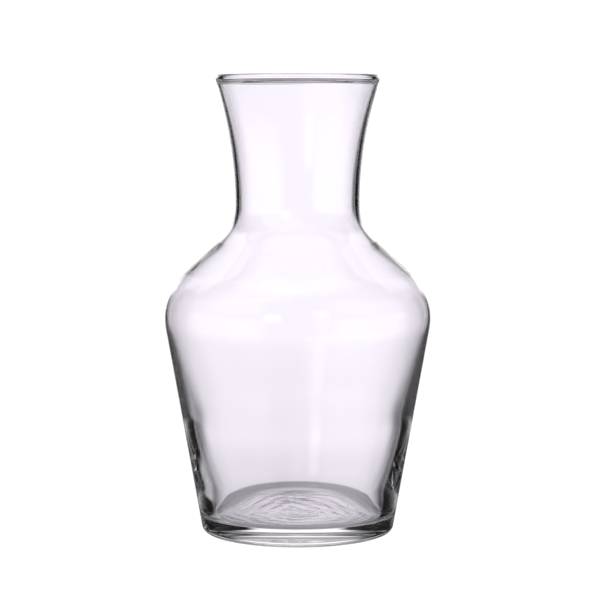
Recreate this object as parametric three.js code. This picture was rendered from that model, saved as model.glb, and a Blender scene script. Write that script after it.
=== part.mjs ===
// A one-litre table carafe, blown in one piece of clear glass and turned about its upright axis.
// Millimetres, +Z up, with the origin on the table at the middle of the foot.

import * as THREE from "three";

// Outside of the body, from the foot up
const FOOT_RADIUS = 40.4; // outer edge of the flat ring that the carafe stands on
const HEEL_ROUND = 3.8; // turn from the ring into the tapering side
const BODY_RADIUS = 60.9; // widest point of the body
const BODY_HEIGHT = 98.7; // height of the widest point
const SHOULDER_SHARE = 0.529; // radius of the turn into the shoulder, per rise from here to the neck

// Outside of the neck
const NECK_RADIUS = 28.5; // narrowest point
const NECK_HEIGHT = 150.5; // height of the narrowest point
const NECK_FOOT_SHARE = 0.425; // radius of the hollow turn out of the shoulder, per the same rise
const FLARE_ROUND = 185; // long hollow curve from the narrowest point up to the lip

// Lip
const HEIGHT = 209.4;
const LIP_ROUND = 1.7; // radius of the fire-polished rim
const LIP_BLEND = 1; // small hollow where the rim runs into the inner face

// Inside of the neck and body
const NECK_WALL = 2.1; // at the narrowest point
const INNER_FLARE_ROUND = 168; // tighter than outside, so that the neck thins towards the lip
const BODY_WALL = 0.9; // at the widest point
const INNER_SHOULDER_TIGHTER = 1.8; // than the shoulder's turn outside
const INNER_SHOULDER_RISE = 0.4; // of the shoulder's turn inside above the one outside

// Two soft bulges of the inner side, where the glass gathered while it was blown, with a hollow between
const UPPER_BULGE_HEIGHT = 50.5;
const UPPER_BULGE_WALL = 4.4; // square to the outer side
const UPPER_BULGE_ROUND = 80;
const LOWER_BULGE_HEIGHT = 16;
const LOWER_BULGE_WALL = 6; // square to the outer side
const LOWER_BULGE_ROUND = 60;
const SIDE_HOLLOW_ROUND = 300;

// Inner floor
const FLOOR_THICKNESS = 8.3; // at the lowest ring of the inside
const FLOOR_RADIUS = 36.4; // where the floor begins to turn up into the side
const FLOOR_CORNER_ROUND = 3; // turn from the floor into the inner side
const FLOOR_CROWN = 0.5; // rise of the floor towards its middle

// Underside
const RING_WIDTH = 5; // flat ring that touches the table
const RING_EDGE_ROUND = 2; // inner edge of that ring
const PUNT_DEPTH = 2.7; // hollow under the base

// Fineness of the facets
const SIDES = 64;
const CHORD_ERROR = 0.1;

const point = (r, z) => new THREE.Vector2(r, z);

// A circle in the half-section. Its radius is negative where the glass surface is a hollow,
// so that the surface's normal always points the same way across a straight stretch.
const circle = (r, z, radius) => ({ centre: point(r, z), radius });

// Direction of the common normal of two circles that one straight stretch touches.
function sharedNormal(lower, upper) {
  const across = upper.centre.clone().sub(lower.centre);
  const lean = Math.acos((lower.radius - upper.radius) / across.length());
  return across.angle() - lean;
}

// Point at given distances from two others, on the left of the way from the first to the second.
function apart(first, firstReach, second, secondReach) {
  const across = second.clone().sub(first);
  const gap = across.length();
  const along = (gap ** 2 + firstReach ** 2 - secondReach ** 2) / (2 * gap);
  const off = Math.sqrt(firstReach ** 2 - along ** 2);
  const unit = across.divideScalar(gap);
  const left = point(-unit.y, unit.x);
  return first.clone().addScaledVector(unit, along).addScaledVector(left, off);
}

// Bulge of the inner side: its wall is measured square to the straight outer side under the shoulder.
function bulge(shoulder, taper, height, wall, round) {
  const square = point(Math.cos(taper), Math.sin(taper));
  const sideTop = shoulder.centre.clone().addScaledVector(square, shoulder.radius);
  const side = point(sideTop.x + (sideTop.y - height) * Math.tan(taper), height);
  const centre = side.addScaledVector(square, round - wall);
  return circle(centre.x, centre.y, -round);
}

// Radius of a shallow dome that rises over a reach and runs on smoothly into an edge rounding.
const domeRadius = (rise, reach, edge) => (rise ** 2 + reach ** 2) / (2 * rise) - edge;

const heading = (from, to) => to.clone().sub(from).angle();

// The closed half-section: out along the underside, up the outside, over the lip, down the inside.
function halfSection() {
  const heel = circle(FOOT_RADIUS, HEEL_ROUND, HEEL_ROUND);
  const neckRise = NECK_HEIGHT - BODY_HEIGHT;
  const shoulderRound = SHOULDER_SHARE * neckRise;
  const neckFootRound = NECK_FOOT_SHARE * neckRise;
  const shoulder = circle(BODY_RADIUS - shoulderRound, BODY_HEIGHT, shoulderRound);
  const neckFoot = circle(NECK_RADIUS + neckFootRound, NECK_HEIGHT, -neckFootRound);
  const flareCentre = point(NECK_RADIUS + FLARE_ROUND, NECK_HEIGHT);

  const beadHeight = HEIGHT - LIP_ROUND;
  const beadReach = FLARE_ROUND + LIP_ROUND;
  const beadRadius = flareCentre.x - Math.sqrt(beadReach ** 2 - (beadHeight - NECK_HEIGHT) ** 2);
  const bead = point(beadRadius, beadHeight);

  const throat = NECK_RADIUS - NECK_WALL;
  const innerFlareCentre = point(throat + INNER_FLARE_ROUND, NECK_HEIGHT);
  const lipHollow = apart(
    innerFlareCentre, INNER_FLARE_ROUND + LIP_BLEND,
    bead, LIP_ROUND + LIP_BLEND,
  );
  const innerNeckFoot = circle(neckFoot.centre.x, NECK_HEIGHT, -neckFootRound - NECK_WALL);
  const innerShoulderRound = shoulderRound - INNER_SHOULDER_TIGHTER;
  const innerShoulder = circle(
    BODY_RADIUS - BODY_WALL - innerShoulderRound,
    BODY_HEIGHT + INNER_SHOULDER_RISE,
    innerShoulderRound,
  );
  const taper = sharedNormal(heel, shoulder);
  const upperBulge = bulge(
    shoulder, taper, UPPER_BULGE_HEIGHT, UPPER_BULGE_WALL, UPPER_BULGE_ROUND,
  );
  const lowerBulge = bulge(
    shoulder, taper, LOWER_BULGE_HEIGHT, LOWER_BULGE_WALL, LOWER_BULGE_ROUND,
  );
  const sideHollow = apart(
    lowerBulge.centre, SIDE_HOLLOW_ROUND + LOWER_BULGE_ROUND,
    upperBulge.centre, SIDE_HOLLOW_ROUND + UPPER_BULGE_ROUND,
  );
  const corner = circle(FLOOR_RADIUS, FLOOR_THICKNESS + FLOOR_CORNER_ROUND, FLOOR_CORNER_ROUND);

  const ringInner = FOOT_RADIUS - RING_WIDTH;
  const puntRadius = domeRadius(PUNT_DEPTH, ringInner, RING_EDGE_ROUND);
  const puntCentre = point(0, PUNT_DEPTH - puntRadius);
  const ringEdge = point(ringInner, RING_EDGE_ROUND);
  const crownRadius = domeRadius(FLOOR_CROWN, FLOOR_RADIUS, FLOOR_CORNER_ROUND);
  const crownCentre = point(0, FLOOR_THICKNESS + FLOOR_CROWN - crownRadius);

  const up = Math.PI / 2;
  const down = -Math.PI / 2;
  const slope = sharedNormal(shoulder, neckFoot);
  const innerSlope = sharedNormal(innerShoulder, innerNeckFoot);
  const innerTaper = sharedNormal(upperBulge, innerShoulder);
  const innerFootTaper = sharedNormal(corner, lowerBulge);
  const hollowTop = heading(upperBulge.centre, sideHollow);
  const hollowFoot = heading(lowerBulge.centre, sideHollow);
  const puntEdge = heading(puntCentre, ringEdge);
  const crownEdge = heading(crownCentre, corner.centre);
  const flareEnd = heading(flareCentre, bead);
  const innerFlareEnd = heading(innerFlareCentre, lipHollow);
  const beadIn = heading(bead, lipHollow);

  const path = new THREE.Path();
  const arc = (centre, radius, from, to) =>
    path.absarc(centre.x, centre.y, radius, from, to, to < from);

  // Underside: hollow punt, then the flat ring
  arc(puntCentre, puntRadius, up, puntEdge);
  arc(ringEdge, RING_EDGE_ROUND, puntEdge - Math.PI, down);
  // Outside
  arc(heel.centre, HEEL_ROUND, down, taper);
  arc(shoulder.centre, shoulderRound, taper, slope);
  arc(neckFoot.centre, neckFootRound, slope + Math.PI, Math.PI);
  arc(flareCentre, FLARE_ROUND, Math.PI, flareEnd);
  // Lip
  arc(bead, LIP_ROUND, flareEnd - Math.PI, up);
  arc(bead, LIP_ROUND, up, beadIn);
  arc(lipHollow, LIP_BLEND, beadIn - Math.PI, innerFlareEnd - Math.PI);
  // Inside
  arc(innerFlareCentre, INNER_FLARE_ROUND, innerFlareEnd, Math.PI);
  arc(neckFoot.centre, -innerNeckFoot.radius, Math.PI, innerSlope + Math.PI);
  arc(innerShoulder.centre, innerShoulderRound, innerSlope, innerTaper);
  arc(upperBulge.centre, UPPER_BULGE_ROUND, innerTaper + Math.PI, hollowTop);
  arc(sideHollow, SIDE_HOLLOW_ROUND, hollowTop - Math.PI, hollowFoot - Math.PI);
  arc(lowerBulge.centre, LOWER_BULGE_ROUND, hollowFoot, innerFootTaper + Math.PI);
  arc(corner.centre, FLOOR_CORNER_ROUND, innerFootTaper, crownEdge - Math.PI);
  arc(crownCentre, crownRadius, crownEdge, up);
  return path;
}

// Points along the section: the ends of each straight stretch, and enough on each arc.
function sectionPoints(path) {
  const points = [];
  for (const curve of path.curves) {
    const turn = curve.isEllipseCurve ? curve.getLength() / curve.xRadius : 0;
    const step = 2 * Math.acos(1 - CHORD_ERROR / (curve.xRadius ?? 1));
    for (const next of curve.getPoints(Math.max(1, Math.ceil(turn / step)))) {
      const last = points.at(-1);
      if (!last || last.distanceTo(next) > CHORD_ERROR / 10) points.push(next);
    }
  }
  points[0].x = 0;
  points.at(-1).x = 0;
  return points;
}

function glassVessel() {
  const geometry = new THREE.LatheGeometry(sectionPoints(halfSection()), SIDES);
  geometry.rotateX(Math.PI / 2);
  const clearGlass = new THREE.MeshStandardMaterial({
    color: 0xf4f2f8,
    roughness: 0.02,
    metalness: 0,
    transparent: true,
    opacity: 0.35,
  });
  const vessel = new THREE.Mesh(geometry, clearGlass);
  vessel.name = "glass_vessel";
  return vessel;
}

const carafe = new THREE.Group();
carafe.add(glassVessel());

export default carafe;
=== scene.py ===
"""Looks of the clear glass carafe: smooth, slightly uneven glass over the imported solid, a studio of lit
paper for the glass to show, and a camera at the photograph's viewing angle. Metres, +Z up."""

import math
from collections import namedtuple

import bpy
import numpy as np
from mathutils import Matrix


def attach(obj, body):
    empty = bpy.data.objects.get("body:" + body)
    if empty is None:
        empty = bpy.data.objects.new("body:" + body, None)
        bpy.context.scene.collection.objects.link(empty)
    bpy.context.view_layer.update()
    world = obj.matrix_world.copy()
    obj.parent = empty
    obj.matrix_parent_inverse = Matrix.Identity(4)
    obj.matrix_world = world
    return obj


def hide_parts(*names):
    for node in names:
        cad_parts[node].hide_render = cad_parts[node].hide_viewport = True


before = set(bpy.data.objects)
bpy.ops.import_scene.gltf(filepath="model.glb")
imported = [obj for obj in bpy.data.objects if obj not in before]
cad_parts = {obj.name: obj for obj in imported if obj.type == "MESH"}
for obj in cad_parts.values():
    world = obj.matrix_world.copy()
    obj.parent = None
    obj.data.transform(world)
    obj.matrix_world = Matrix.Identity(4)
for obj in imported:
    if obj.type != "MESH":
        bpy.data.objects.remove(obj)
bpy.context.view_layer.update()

# Fineness of the glass
SIDES = 256
LONGEST_STEP = 0.003
LARGEST_TURN = math.radians(6)
FLOOR_STEP = 0.0006  # on the inner floor, which carries fine waves
FLOOR_LEAN = 0.5  # sine of the steepest chord of the inside that is cut so finely

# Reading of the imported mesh
SAME_PLACE = 0.000002  # corners nearer to each other than this are one
STRAIGHT = 0.00001  # a chord that turns by fewer radians is a straight line

# Inner floor: below a height, and out to where it rises more steeply than a slope
FLOOR_TOP = 0.03
FLOOR_SLOPE = 0.3

# Flow marks on the inner floor: uneven rings with finer ones among them, in patches
WAVE_HEIGHT = 0.00006
WAVE_LENGTH = 0.0063
WAVE_CALM_EDGE = 0.006  # the waves die out over this distance at the floor's corner and middle
# Lobes of the rings' drift round the floor, with the reach and the start of each in radians
WAVE_DRIFTS = ((2, 2.2, 0.6), (5, 1.1, 1.7), (9, 0.5, 0.0))
FINE_WAVE_SHARE = 0.4  # of the height
FINE_WAVE_LENGTH = 0.002961
FINE_WAVE_DRIFT = -1.6  # per drift of the main rings
FINE_WAVE_START = 1.0
PATCH_MEAN = 0.65
PATCH_RANGE = 0.35
PATCH_LOBES = 3
PATCH_TWIST = 90  # radians per metre from the axis

# Low ridge along the edge of the inner floor
RIDGE_HEIGHT = 0.00012
RIDGE_WIDTH = 0.0008
RIDGE_INSET = 0.0024

# Bore of the neck, which stands a little to one side, as it does in blown glass
BORE_OFFSET = 0.00015
BORE_FOOT = (0.115, 0.15)  # the offset grows between these heights
BORE_LIP = (0.2085, 0.195)  # and dies out between these

# Glass
GLASS_TINT = (0.982, 0.955, 1.0, 1)
GLASS_IOR = 1.52
HAZE = 0.08  # faint haze on the side under the shoulder
HAZE_FOOT = (0.045, 0.06)  # heights between which it sets in
HAZE_TOP = (0.102, 0.092)  # and dies out
WEAR = 0.3  # dulled ring that the carafe stands on
WEAR_EDGE = (0.0006, 0.0002)  # heights between which it sets in, downwards
UNEVEN_HEIGHT = 0.00004  # slow waves of the whole surface
UNEVEN_SCALE = 45  # of them per metre
MOST_BOUNCES = 48

# Plain white surroundings for the camera
WHITE = (1, 1, 1, 1)
PLAIN_WHITE = 1.05
FLOOR_HALF_WIDTH = 12.0
FLOOR_LEVEL = -0.0008  # a hair under the foot

# Lit paper that the glass shows: it lies behind the carafe, widens away from it and rises far behind
PAPER_LEVEL = -0.0004
PAPER_TIP = 0.001  # half-width of the paper's front end
PAPER_HALF_WIDTH = 0.04  # level with the carafe's axis
PAPER_SPREAD = 0.285  # growth of the half-width per metre away
PAPER_RISE_SPREAD = 1.2  # growth of the half-width per metre up the wall
PAPER_SOFTNESS = 0.22  # share of the half-width over which the paper's sides fade, on either hand
PAPER_FRONT = 0.4  # share of its light that the paper keeps in front of the carafe
PAPER_FRONT_FADE = (-0.1, 0.02)  # depths between which it comes up to its full light
WALL_DISTANCE = 6.0
WALL_HEIGHT = 11.0
# Light of the paper on the wall, by height
WALL_LIGHT = ((0.0, 1.18), (1.1, 1.18), (1.5, 0.3), (2.6, 0.25), (3.6, 0.5), (11.0, 0.8))

# Light of the paper on the floor, by the distance from the middle of a painted shadow of the carafe: dark
# at its middle, lighter in a ring, dark in a wider ring, and full further out
PAINTED_SHADE_BEHIND = 0.025  # of that middle behind the carafe's axis
PAINTED_SHADE_SLIMNESS = 1.75  # the painted shade is so much deeper than it is wide
FLOOR_LIGHT_AND_PAINTED_SHADE = (
    (0.0, 0.2), (0.018, 0.2), (0.026, 0.6), (0.035, 0.6), (0.045, 0.38), (0.075, 0.37),
    (0.08, 0.85), (0.11, 0.94), (0.2, 1.05), (0.5, 1.18),
)

# Room that the glass shows around the paper: dark, but lit overhead and grey low down at the sides
DARK = 0.01
ZENITH_LIGHT = 0.68
ZENITH_RISE = (0.8, 0.95)  # sines of the elevations over which the overhead light sets in
ROOM_LIGHT = 0.55
ROOM_SIDES = (0.44, 0.2)  # cosines of the turns away from the paper over which the grey sets in
ROOM_FRONT = (-0.94, -0.75)  # and over which it dies out opposite the paper
ROOM_TOP = (0.26, 0.1)  # sines of the elevations over which it dies out upwards
ROOM_FOOT = (-0.45, -0.3)  # and downwards

# Soft lights far away: the turn from +Y towards -X, the lowest and highest elevation, and the
# half-widths that are evenly bright and that reach the edge, all in degrees, then the brightness
FarLight = namedtuple("FarLight", "turn lowest highest core edge light")
FAR_LIGHTS = (
    FarLight(turn=45, lowest=-46, highest=-20, core=9, edge=22, light=0.55),
    FarLight(turn=158, lowest=6, highest=24, core=2, edge=9, light=1.6),
    FarLight(turn=225, lowest=-75, highest=-14, core=25, edge=45, light=0.5),
)
FAR_LIGHT_FADE = 4  # degrees over which a far light fades at its top and bottom

# Camera
PHOTO_WIDTH = 600  # pixels
FOCAL_PIXELS = 2192
AXIS_PIXEL = 297.66  # of the carafe's axis, from the left
CAMERA_DISTANCE = 1.0
CAMERA_HEIGHT = 0.1939
CAMERA_TILT = 0.087  # radians down
SENSOR_WIDTH = 36  # millimetres


def half_section(node):
    """Corners of a turned solid's half-section, from the middle of its underside, round the lip, to the
    middle of its inside."""
    mesh = node.data
    corners = np.empty(len(mesh.vertices) * 3)
    mesh.vertices.foreach_get("co", corners)
    corners = corners.reshape(-1, 3)
    rounded = [tuple(row) for row in np.round(corners / SAME_PLACE).astype(int)]
    in_plane = {
        index: rounded[index]
        for index, (x, y, _) in enumerate(corners)
        if abs(y) < SAME_PLACE and x > -SAME_PLACE
    }
    neighbours = {}
    for edge in mesh.edges:
        first, second = edge.vertices
        if first in in_plane and second in in_plane and in_plane[first] != in_plane[second]:
            neighbours.setdefault(in_plane[first], set()).add(in_plane[second])
            neighbours.setdefault(in_plane[second], set()).add(in_plane[first])
    place = {key: corners[index] for index, key in in_plane.items()}
    ends = [key for key, beside in neighbours.items() if len(beside) == 1]
    chain = [min(ends, key=lambda key: place[key][2])]
    while True:
        onward = [key for key in neighbours[chain[-1]] if key not in chain[-2:]]
        if not onward:
            break
        chain.append(onward[0])
    return np.array([(max(place[key][0], 0.0), place[key][2]) for key in chain])


def finer(points):
    """Turns each chord of the section back into the arc or straight line that it was cut from.

    On either, the chord's heading is the mean of the headings at its two ends, and at the axis the
    section sets out level, so each heading follows from the one before."""
    chords = np.diff(points, axis=0)
    chord_headings = np.unwrap(np.arctan2(chords[:, 1], chords[:, 0]))
    lip = int(np.argmax(points[:, 1]))
    heading = 0.0
    smooth = [points[0]]
    for index, chord_heading in enumerate(chord_headings):
        next_heading = 2 * chord_heading - heading
        turn = next_heading - heading
        span = np.hypot(*chords[index])
        on_floor = index > lip and abs(math.sin(chord_heading)) < FLOOR_LEAN
        step = FLOOR_STEP if on_floor else LONGEST_STEP
        count = math.ceil(max(span / step, abs(turn) / LARGEST_TURN))
        for part in range(1, count):
            share = part / count
            if abs(turn) < STRAIGHT:
                smooth.append(points[index] + chords[index] * share)
                continue
            radius = span / (2 * math.sin(turn / 2))
            here = heading + turn * share
            along = math.sin(here) - math.sin(heading)
            across = math.cos(heading) - math.cos(here)
            smooth.append(points[index] + radius * np.array([along, across]))
        smooth.append(points[index + 1])
        heading = next_heading
    return np.array(smooth)


def floor_waves(radius, angle, floor_radius):
    """Height of the uneven rings and of the ridge on the inner floor."""
    drift = sum(reach * np.sin(lobes * angle + start) for lobes, reach, start in WAVE_DRIFTS)
    rings = np.sin(2 * np.pi * radius / WAVE_LENGTH + drift)
    fine_phase = 2 * np.pi * radius / FINE_WAVE_LENGTH + FINE_WAVE_DRIFT * drift + FINE_WAVE_START
    patches = PATCH_MEAN + PATCH_RANGE * np.sin(PATCH_LOBES * angle + PATCH_TWIST * radius)
    calm_corner = np.clip((floor_radius - radius) / WAVE_CALM_EDGE, 0, 1)
    calm_middle = np.clip(radius / WAVE_CALM_EDGE, 0, 1)
    waves = (rings + FINE_WAVE_SHARE * np.sin(fine_phase)) * patches * calm_corner * calm_middle
    from_ridge = (radius - floor_radius + RIDGE_INSET) / RIDGE_WIDTH
    return WAVE_HEIGHT * waves + RIDGE_HEIGHT * np.exp(-(from_ridge ** 2))


def smooth_step(value, start, end):
    share = np.clip((value - start) / (end - start), 0, 1)
    return share * share * (3 - 2 * share)


def turned(name, points):
    """Revolves a half-section that begins and ends on the axis into a closed mesh."""
    rings = points[1:-1]
    radius = np.repeat(rings[:, 0], SIDES)
    height = np.repeat(rings[:, 1], SIDES)
    angle = np.tile(np.arange(SIDES) * 2 * np.pi / SIDES, len(rings))
    inner_rings = np.arange(len(rings)) > np.argmax(rings[:, 1])
    inner = np.repeat(inner_rings, SIDES)
    out, up = np.abs(np.gradient(rings, axis=0)).T
    floor_rings = inner_rings & (up < FLOOR_SLOPE * out) & (rings[:, 1] < FLOOR_TOP)
    floor_radius = rings[floor_rings, 0].max()
    on_floor = inner & (radius < floor_radius) & (height < FLOOR_TOP)
    offset = BORE_OFFSET * inner * smooth_step(height, *BORE_FOOT) * smooth_step(height, *BORE_LIP)
    height = height + np.where(on_floor, floor_waves(radius, angle, floor_radius), 0.0)
    corners = np.column_stack([radius * np.cos(angle) - offset, radius * np.sin(angle), height])
    poles = [(0, 0, points[0, 1]), (0, 0, points[-1, 1])]
    corners = np.vstack([corners, poles])
    under, inside = len(corners) - 2, len(corners) - 1
    ring = np.arange(SIDES)
    following = (ring + 1) % SIDES
    faces = []
    for row in range(len(rings) - 1):
        low, high = row * SIDES, (row + 1) * SIDES
        faces += np.column_stack([low + ring, low + following, high + following, high + ring]).tolist()
    last = (len(rings) - 1) * SIDES
    faces += [(under, int(b), int(a)) for a, b in zip(ring, following)]
    faces += [(inside, int(last + a), int(last + b)) for a, b in zip(ring, following)]
    mesh = bpy.data.meshes.new(name)
    mesh.from_pydata(corners.tolist(), [], faces)
    mesh.shade_smooth()
    piece = bpy.data.objects.new(name, mesh)
    bpy.context.scene.collection.objects.link(piece)
    return piece


def new_tree(block):
    block.use_nodes = True
    block.node_tree.nodes.clear()
    return block.node_tree


def feed(tree, socket, value):
    """Sets a node's input to a number, or links another node's output to it."""
    if isinstance(value, (int, float)):
        socket.default_value = value
    else:
        tree.links.new(value, socket)


def calculate(tree, operation, *values):
    """A Math node whose inputs are numbers or sockets; returns its output."""
    node = tree.nodes.new("ShaderNodeMath")
    node.operation = operation
    for socket, value in zip(node.inputs, values):
        feed(tree, socket, value)
    return node.outputs[0]


def length(tree, first, second):
    """Length of a flat vector with two sockets as its sides."""
    squares = calculate(tree, "MULTIPLY", second, second)
    return calculate(tree, "SQRT", calculate(tree, "MULTIPLY_ADD", first, first, squares))


def remap(tree, value, start, end, low=0.0, high=1.0):
    """Smooth step of a socket from start to end; returns its output."""
    node = tree.nodes.new("ShaderNodeMapRange")
    node.interpolation_type = "SMOOTHSTEP"
    tree.links.new(value, node.inputs["Value"])
    for name, limit in (("From Min", start), ("From Max", end), ("To Min", low), ("To Max", high)):
        node.inputs[name].default_value = limit
    return node.outputs[0]


def light_curve(tree, distance, stops):
    """Brightness along a distance, straight between the stops."""
    top = max(light for _, light in stops)
    reach = stops[-1][0]
    node = tree.nodes.new("ShaderNodeValToRGB")
    elements = node.color_ramp.elements
    elements.remove(elements[-1])
    for index, (at, light) in enumerate(stops):
        element = elements[0] if index == 0 else elements.new(at / reach)
        element.position = at / reach
        element.color = (light / top, light / top, light / top, 1)
    tree.links.new(calculate(tree, "DIVIDE", distance, reach), node.inputs["Fac"])
    return calculate(tree, "MULTIPLY", node.outputs["Color"], top)


def coordinates(tree, kind):
    return tree.nodes.new("ShaderNodeTexCoord").outputs[kind]


def split_axes(tree, kind):
    """The x, y and z of a kind of coordinates."""
    split = tree.nodes.new("ShaderNodeSeparateXYZ")
    tree.links.new(coordinates(tree, kind), split.inputs[0])
    return split.outputs


def mix(tree, share, first, second):
    """The second shader by a share, and the first by the rest."""
    node = tree.nodes.new("ShaderNodeMixShader")
    tree.links.new(share, node.inputs["Fac"])
    tree.links.new(first, node.inputs[1])
    tree.links.new(second, node.inputs[2])
    return node.outputs[0]


def finish_with(tree, kind, shader):
    """Ends a tree with an output node of a kind."""
    output = tree.nodes.new(kind)
    tree.links.new(shader, output.inputs["Surface"])


def light_shader(tree, kind, strength):
    """White light of a strength, from an emission or a background node."""
    node = tree.nodes.new(kind)
    node.inputs["Color"].default_value = WHITE
    feed(tree, node.inputs["Strength"], strength)
    return node.outputs[0]


def paper_share(tree, along, across, rise=None):
    """1 on the lit paper, 0 beside it."""
    half = calculate(tree, "MULTIPLY_ADD", along, PAPER_SPREAD, PAPER_HALF_WIDTH)
    if rise is not None:
        half = calculate(tree, "MULTIPLY_ADD", rise, PAPER_RISE_SPREAD, half)
    out = calculate(tree, "DIVIDE", calculate(tree, "ABSOLUTE", across), half)
    return remap(tree, out, 1 + PAPER_SOFTNESS, 1 - PAPER_SOFTNESS)


def paper(tree, strength, share):
    """Lit paper; what lies behind it shows where its share is less than 1."""
    clear = tree.nodes.new("ShaderNodeBsdfTransparent").outputs[0]
    lit = light_shader(tree, "ShaderNodeEmission", strength)
    finish_with(tree, "ShaderNodeOutputMaterial", mix(tree, share, clear, lit))


def paper_floor_material():
    material = bpy.data.materials.new("lit_paper_floor")
    tree = new_tree(material)
    x, y, _ = split_axes(tree, "Object")
    front = remap(tree, y, *PAPER_FRONT_FADE, PAPER_FRONT, 1.0)
    share = calculate(tree, "MULTIPLY", paper_share(tree, y, x), front)
    # Painted shadow of the carafe on the paper: the paper's light follows the distance from the painted
    # shade's middle
    aside = calculate(tree, "MULTIPLY", x, PAINTED_SHADE_SLIMNESS)
    behind = calculate(tree, "SUBTRACT", y, PAINTED_SHADE_BEHIND)
    paper(tree, light_curve(tree, length(tree, aside, behind), FLOOR_LIGHT_AND_PAINTED_SHADE), share)
    return material


def paper_wall_material():
    material = bpy.data.materials.new("lit_paper_wall")
    tree = new_tree(material)
    x, y, z = split_axes(tree, "Object")
    paper(tree, light_curve(tree, z, WALL_LIGHT), paper_share(tree, y, x, z))
    return material


def white_floor_material():
    material = bpy.data.materials.new("white_floor")
    tree = new_tree(material)
    finish_with(tree, "ShaderNodeOutputMaterial", light_shader(tree, "ShaderNodeEmission", PLAIN_WHITE))
    return material


def panel(name, corners, material):
    """A flat stage panel."""
    mesh = bpy.data.meshes.new(name)
    mesh.from_pydata(corners, [], [(0, 1, 2, 3)])
    mesh.materials.append(material)
    piece = bpy.data.objects.new(name, mesh)
    bpy.context.scene.collection.objects.link(piece)
    return piece


def build_floor():
    """A plain white floor, which the glass itself doesn't show."""
    corner_signs = ((-1, -1), (1, -1), (1, 1), (-1, 1))
    square = [(x * FLOOR_HALF_WIDTH, y * FLOOR_HALF_WIDTH, FLOOR_LEVEL) for x, y in corner_signs]
    floor = panel("floor", square, white_floor_material())
    floor.visible_transmission = False
    floor.visible_glossy = False


def build_paper():
    """A sweep of lit paper that only the glass shows."""
    widest = 1 + PAPER_SOFTNESS
    far = (PAPER_HALF_WIDTH + PAPER_SPREAD * WALL_DISTANCE) * widest
    top = far + PAPER_RISE_SPREAD * WALL_HEIGHT * widest
    front = -PAPER_HALF_WIDTH / PAPER_SPREAD
    lying = [
        (-PAPER_TIP, front, PAPER_LEVEL), (PAPER_TIP, front, PAPER_LEVEL),
        (far, WALL_DISTANCE, PAPER_LEVEL), (-far, WALL_DISTANCE, PAPER_LEVEL),
    ]
    upright = [
        (-far, WALL_DISTANCE, PAPER_LEVEL), (far, WALL_DISTANCE, PAPER_LEVEL),
        (top, WALL_DISTANCE, WALL_HEIGHT), (-top, WALL_DISTANCE, WALL_HEIGHT),
    ]
    for piece in (
        panel("paper_floor", lying, paper_floor_material()),
        panel("paper_wall", upright, paper_wall_material()),
    ):
        piece.visible_camera = False


def far_light(tree, axes, light):
    """Brightness of one far light in a direction of the sky."""
    x, y, z = axes
    sine, cosine = math.sin(math.radians(light.turn)), math.cos(math.radians(light.turn))
    along = calculate(tree, "MULTIPLY_ADD", x, -sine, calculate(tree, "MULTIPLY", y, cosine))
    level = calculate(tree, "DIVIDE", along, length(tree, x, y))
    edge, core = math.cos(math.radians(light.edge)), math.cos(math.radians(light.core))
    brightness = remap(tree, level, edge, core, 0.0, light.light)
    for limit, fade in ((light.lowest, FAR_LIGHT_FADE), (light.highest, -FAR_LIGHT_FADE)):
        start, end = math.sin(math.radians(limit)), math.sin(math.radians(limit + fade))
        brightness = calculate(tree, "MULTIPLY", brightness, remap(tree, z, start, end))
    return brightness


def room_light(tree, axes):
    """Brightness of the grey room low down at the sides."""
    x, y, z = axes
    turn = calculate(tree, "DIVIDE", y, length(tree, x, y))
    sides = calculate(tree, "MULTIPLY", remap(tree, turn, *ROOM_SIDES), remap(tree, turn, *ROOM_FRONT))
    above_foot = remap(tree, z, *ROOM_FOOT, 0.0, ROOM_LIGHT)
    low = calculate(tree, "MULTIPLY", remap(tree, z, *ROOM_TOP), above_foot)
    return calculate(tree, "MULTIPLY", sides, low)


def build_world():
    """White for the camera; for the glass a dark room with soft lights far away."""
    world = bpy.data.worlds.new("studio")
    bpy.context.scene.world = world
    tree = new_tree(world)
    axes = split_axes(tree, "Generated")
    overhead = remap(tree, axes["Z"], *ZENITH_RISE, DARK, ZENITH_LIGHT)
    strength = calculate(tree, "ADD", overhead, room_light(tree, axes))
    for light in FAR_LIGHTS:
        strength = calculate(tree, "ADD", strength, far_light(tree, axes, light))
    room = light_shader(tree, "ShaderNodeBackground", strength)
    plain = light_shader(tree, "ShaderNodeBackground", PLAIN_WHITE)
    for_camera = tree.nodes.new("ShaderNodeLightPath").outputs["Is Camera Ray"]
    finish_with(tree, "ShaderNodeOutputWorld", mix(tree, for_camera, room, plain))


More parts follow.
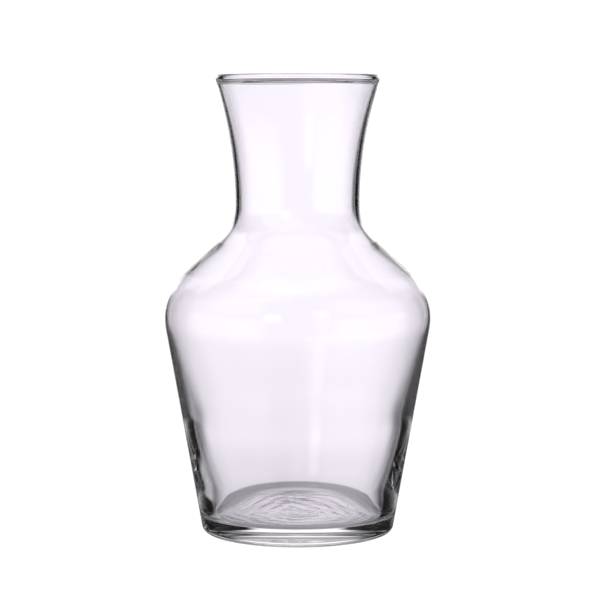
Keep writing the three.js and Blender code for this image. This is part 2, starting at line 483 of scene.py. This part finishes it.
def slow_waves(tree):
    """Barely visible unevenness of blown glass, as a normal."""
    noise = tree.nodes.new("ShaderNodeTexNoise")
    noise.inputs["Scale"].default_value = UNEVEN_SCALE
    noise.inputs["Detail"].default_value = 0.0
    tree.links.new(coordinates(tree, "Object"), noise.inputs["Vector"])
    bump = tree.nodes.new("ShaderNodeBump")
    bump.inputs["Strength"].default_value = 1.0
    bump.inputs["Distance"].default_value = UNEVEN_HEIGHT
    tree.links.new(noise.outputs[0], bump.inputs["Height"])
    return bump.outputs["Normal"]


def clear_glass():
    material = bpy.data.materials.new("clear_glass")
    tree = new_tree(material)
    glass = tree.nodes.new("ShaderNodeBsdfPrincipled")
    glass.inputs["Base Color"].default_value = GLASS_TINT
    glass.inputs["IOR"].default_value = GLASS_IOR
    glass.inputs["Transmission Weight"].default_value = 1.0
    rise = split_axes(tree, "Object")["Z"]
    under_shoulder = remap(tree, rise, *HAZE_TOP, 0.0, HAZE)
    haze = calculate(tree, "MULTIPLY", remap(tree, rise, *HAZE_FOOT), under_shoulder)
    wear = remap(tree, rise, *WEAR_EDGE, 0.0, WEAR)
    tree.links.new(calculate(tree, "MAXIMUM", haze, wear), glass.inputs["Roughness"])
    tree.links.new(slow_waves(tree), glass.inputs["Normal"])
    finish_with(tree, "ShaderNodeOutputMaterial", glass.outputs[0])
    return material


def build_glass():
    section = finer(half_section(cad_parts["glass_vessel"]))
    vessel = turned("glass", section)
    vessel.data.materials.append(clear_glass())
    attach(vessel, "root")
    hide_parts("glass_vessel")


def build_camera():
    camera = bpy.data.objects.new("camera", bpy.data.cameras.new("camera"))
    bpy.context.scene.collection.objects.link(camera)
    camera.location = (0, -CAMERA_DISTANCE, CAMERA_HEIGHT)
    camera.rotation_euler = (math.pi / 2 - CAMERA_TILT, 0, 0)
    camera.data.sensor_width = SENSOR_WIDTH
    camera.data.lens = SENSOR_WIDTH * FOCAL_PIXELS / PHOTO_WIDTH
    camera.data.shift_x = (PHOTO_WIDTH / 2 - AXIS_PIXEL) / PHOTO_WIDTH
    bpy.context.scene.camera = camera


scene = bpy.context.scene
scene.view_settings.view_transform = "Standard"
scene.cycles.max_bounces = MOST_BOUNCES
scene.cycles.transmission_bounces = MOST_BOUNCES
scene.cycles.glossy_bounces = MOST_BOUNCES

build_glass()
build_floor()
build_paper()
build_world()
build_camera()
